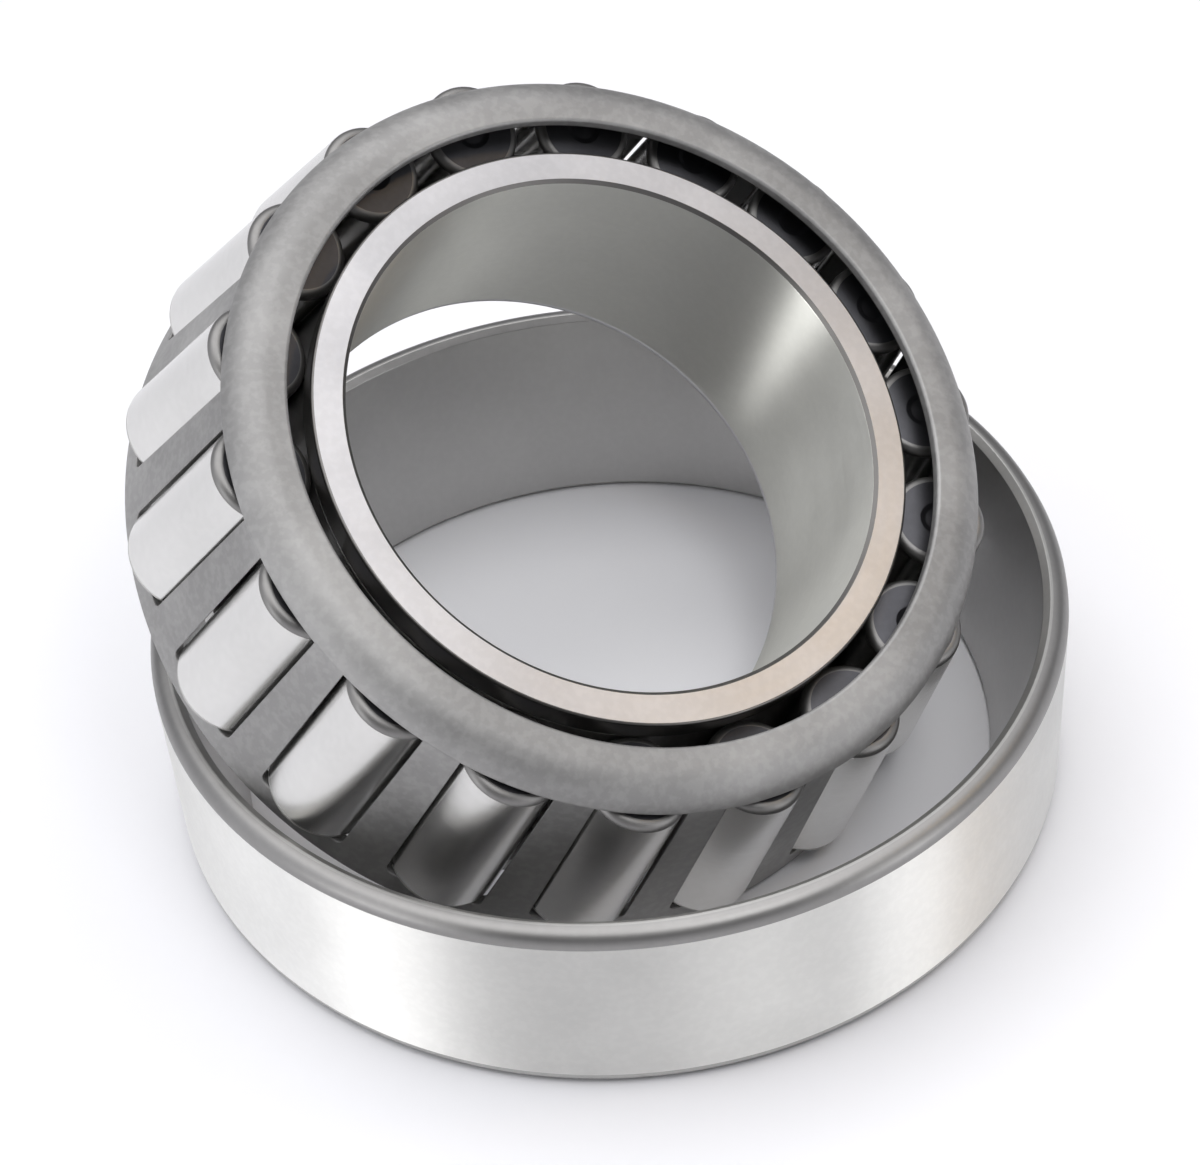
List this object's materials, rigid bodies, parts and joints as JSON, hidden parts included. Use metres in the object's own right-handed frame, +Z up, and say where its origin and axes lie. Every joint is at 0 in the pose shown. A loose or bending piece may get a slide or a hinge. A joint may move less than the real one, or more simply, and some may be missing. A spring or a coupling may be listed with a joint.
{
  "type": "tapered roller bearing",
  "caption": "Single row tapered roller bearing: a loose outer ring, and an inner ring with a pressed steel cage of tapered rollers leaning in its mouth.",
  "frame": {"origin": "centre of the outer ring's back face, which lies on the floor", "axes": "+Z up along the outer ring's axis, towards its open face; the inner ring's small end leans towards +X and -Y"},
  "size_m": [0.1274, 0.1274, 0.0883],
  "materials": {
    "outer_ring_steel": "ground outside, honed raceway",
    "inner_ring_steel": "ground",
    "cage_steel": "pressed and tumbled, matte",
    "roller_steel": "superfinished"
  },
  "bodies": {
    "outer_ring": {"outer_ring": "outer_ring_steel"},
    "inner_ring": {"inner_ring": "inner_ring_steel"},
    "cage": {"cage": "cage_steel"},
    "roller_01": {"roller_01": "roller_steel"},
    "roller_02": {"roller_02": "roller_steel"},
    "roller_03": {"roller_03": "roller_steel"},
    "roller_04": {"roller_04": "roller_steel"},
    "roller_05": {"roller_05": "roller_steel"},
    "roller_06": {"roller_06": "roller_steel"},
    "roller_07": {"roller_07": "roller_steel"},
    "roller_08": {"roller_08": "roller_steel"},
    "roller_09": {"roller_09": "roller_steel"},
    "roller_10": {"roller_10": "roller_steel"},
    "roller_11": {"roller_11": "roller_steel"},
    "roller_12": {"roller_12": "roller_steel"},
    "roller_13": {"roller_13": "roller_steel"},
    "roller_14": {"roller_14": "roller_steel"},
    "roller_15": {"roller_15": "roller_steel"},
    "roller_16": {"roller_16": "roller_steel"},
    "roller_17": {"roller_17": "roller_steel"},
    "roller_18": {"roller_18": "roller_steel"}
  },
  "joints": [
    {"name": "inner_lift", "type": "slide", "parent": "outer_ring", "child": "inner_ring", "axis": [0, 0, 1], "range_m": [0, 0.06]},
    {"name": "cage_spin", "type": "hinge", "parent": "inner_ring", "child": "cage", "pos_m": [-0.00989, 0.01068, 0.02941], "axis": [0.3621, -0.391, 0.8462], "continuous": true},
    {"name": "roller_01_spin", "type": "hinge", "parent": "cage", "child": "roller_01", "pos_m": [0.02726, -0.02674, 0.01927], "axis": [0.2412, -0.2707, 0.932], "continuous": true},
    {"name": "roller_02_spin", "type": "hinge", "parent": "cage", "child": "roller_02", "pos_m": [0.03763, -0.01293, 0.02121], "axis": [0.2018, -0.3231, 0.9246], "continuous": true},
    {"name": "roller_03_spin", "type": "hinge", "parent": "cage", "child": "roller_03", "pos_m": [0.04312, 0.0028, 0.02613], "axis": [0.1809, -0.3829, 0.9059], "continuous": true},
    {"name": "roller_04_spin", "type": "hinge", "parent": "cage", "child": "roller_04", "pos_m": [0.04307, 0.01857, 0.03343], "axis": [0.1811, -0.4428, 0.8782], "continuous": true},
    {"name": "roller_05_spin", "type": "hinge", "parent": "cage", "child": "roller_05", "pos_m": [0.03748, 0.03246, 0.04225], "axis": [0.2023, -0.4955, 0.8447], "continuous": true},
    {"name": "roller_06_spin", "type": "hinge", "parent": "cage", "child": "roller_06", "pos_m": [0.02703, 0.04281, 0.0515], "axis": [0.242, -0.5348, 0.8095], "continuous": true},
    {"name": "roller_07_spin", "type": "hinge", "parent": "cage", "child": "roller_07", "pos_m": [0.01298, 0.04836, 0.06008], "axis": [0.2954, -0.5559, 0.777], "continuous": true},
    {"name": "roller_08_spin", "type": "hinge", "parent": "cage", "child": "roller_08", "pos_m": [-0.00298, 0.04845, 0.06695], "axis": [0.356, -0.5563, 0.7509], "continuous": true},
    {"name": "roller_09_spin", "type": "hinge", "parent": "cage", "child": "roller_09", "pos_m": [-0.01892, 0.04307, 0.07128], "axis": [0.4166, -0.5358, 0.7344], "continuous": true},
    {"name": "roller_10_spin", "type": "hinge", "parent": "cage", "child": "roller_10", "pos_m": [-0.03292, 0.03286, 0.07255], "axis": [0.4698, -0.497, 0.7296], "continuous": true},
    {"name": "roller_11_spin", "type": "hinge", "parent": "cage", "child": "roller_11", "pos_m": [-0.0433, 0.01905, 0.07061], "axis": [0.5092, -0.4446, 0.7369], "continuous": true},
    {"name": "roller_12_spin", "type": "hinge", "parent": "cage", "child": "roller_12", "pos_m": [-0.04879, 0.00332, 0.06569], "axis": [0.53, -0.3848, 0.7556], "continuous": true},
    {"name": "roller_13_spin", "type": "hinge", "parent": "cage", "child": "roller_13", "pos_m": [-0.04874, -0.01245, 0.05839], "axis": [0.5298, -0.325, 0.7834], "continuous": true},
    {"name": "roller_14_spin", "type": "hinge", "parent": "cage", "child": "roller_14", "pos_m": [-0.04315, -0.02634, 0.04957], "axis": [0.5086, -0.2722, 0.8169], "continuous": true},
    {"name": "roller_15_spin", "type": "hinge", "parent": "cage", "child": "roller_15", "pos_m": [-0.0327, -0.03669, 0.04032], "axis": [0.4689, -0.2329, 0.852], "continuous": true},
    {"name": "roller_16_spin", "type": "hinge", "parent": "cage", "child": "roller_16", "pos_m": [-0.01864, -0.04225, 0.03174], "axis": [0.4155, -0.2118, 0.8846], "continuous": true},
    {"name": "roller_17_spin", "type": "hinge", "parent": "cage", "child": "roller_17", "pos_m": [-0.00268, -0.04234, 0.02487], "axis": [0.3549, -0.2114, 0.9107], "continuous": true},
    {"name": "roller_18_spin", "type": "hinge", "parent": "cage", "child": "roller_18", "pos_m": [0.01326, -0.03695, 0.02054], "axis": [0.2943, -0.2319, 0.9271], "continuous": true}
  ],
  "couplings": [
    {"joint": "roller_01_spin", "follows": "cage_spin", "ratio": 6.064},
    {"joint": "roller_02_spin", "follows": "cage_spin", "ratio": 6.064},
    {"joint": "roller_03_spin", "follows": "cage_spin", "ratio": 6.064},
    {"joint": "roller_04_spin", "follows": "cage_spin", "ratio": 6.064},
    {"joint": "roller_05_spin", "follows": "cage_spin", "ratio": 6.064},
    {"joint": "roller_06_spin", "follows": "cage_spin", "ratio": 6.064},
    {"joint": "roller_07_spin", "follows": "cage_spin", "ratio": 6.064},
    {"joint": "roller_08_spin", "follows": "cage_spin", "ratio": 6.064},
    {"joint": "roller_09_spin", "follows": "cage_spin", "ratio": 6.064},
    {"joint": "roller_10_spin", "follows": "cage_spin", "ratio": 6.064},
    {"joint": "roller_11_spin", "follows": "cage_spin", "ratio": 6.064},
    {"joint": "roller_12_spin", "follows": "cage_spin", "ratio": 6.064},
    {"joint": "roller_13_spin", "follows": "cage_spin", "ratio": 6.064},
    {"joint": "roller_14_spin", "follows": "cage_spin", "ratio": 6.064},
    {"joint": "roller_15_spin", "follows": "cage_spin", "ratio": 6.064},
    {"joint": "roller_16_spin", "follows": "cage_spin", "ratio": 6.064},
    {"joint": "roller_17_spin", "follows": "cage_spin", "ratio": 6.064},
    {"joint": "roller_18_spin", "follows": "cage_spin", "ratio": 6.064}
  ]
}
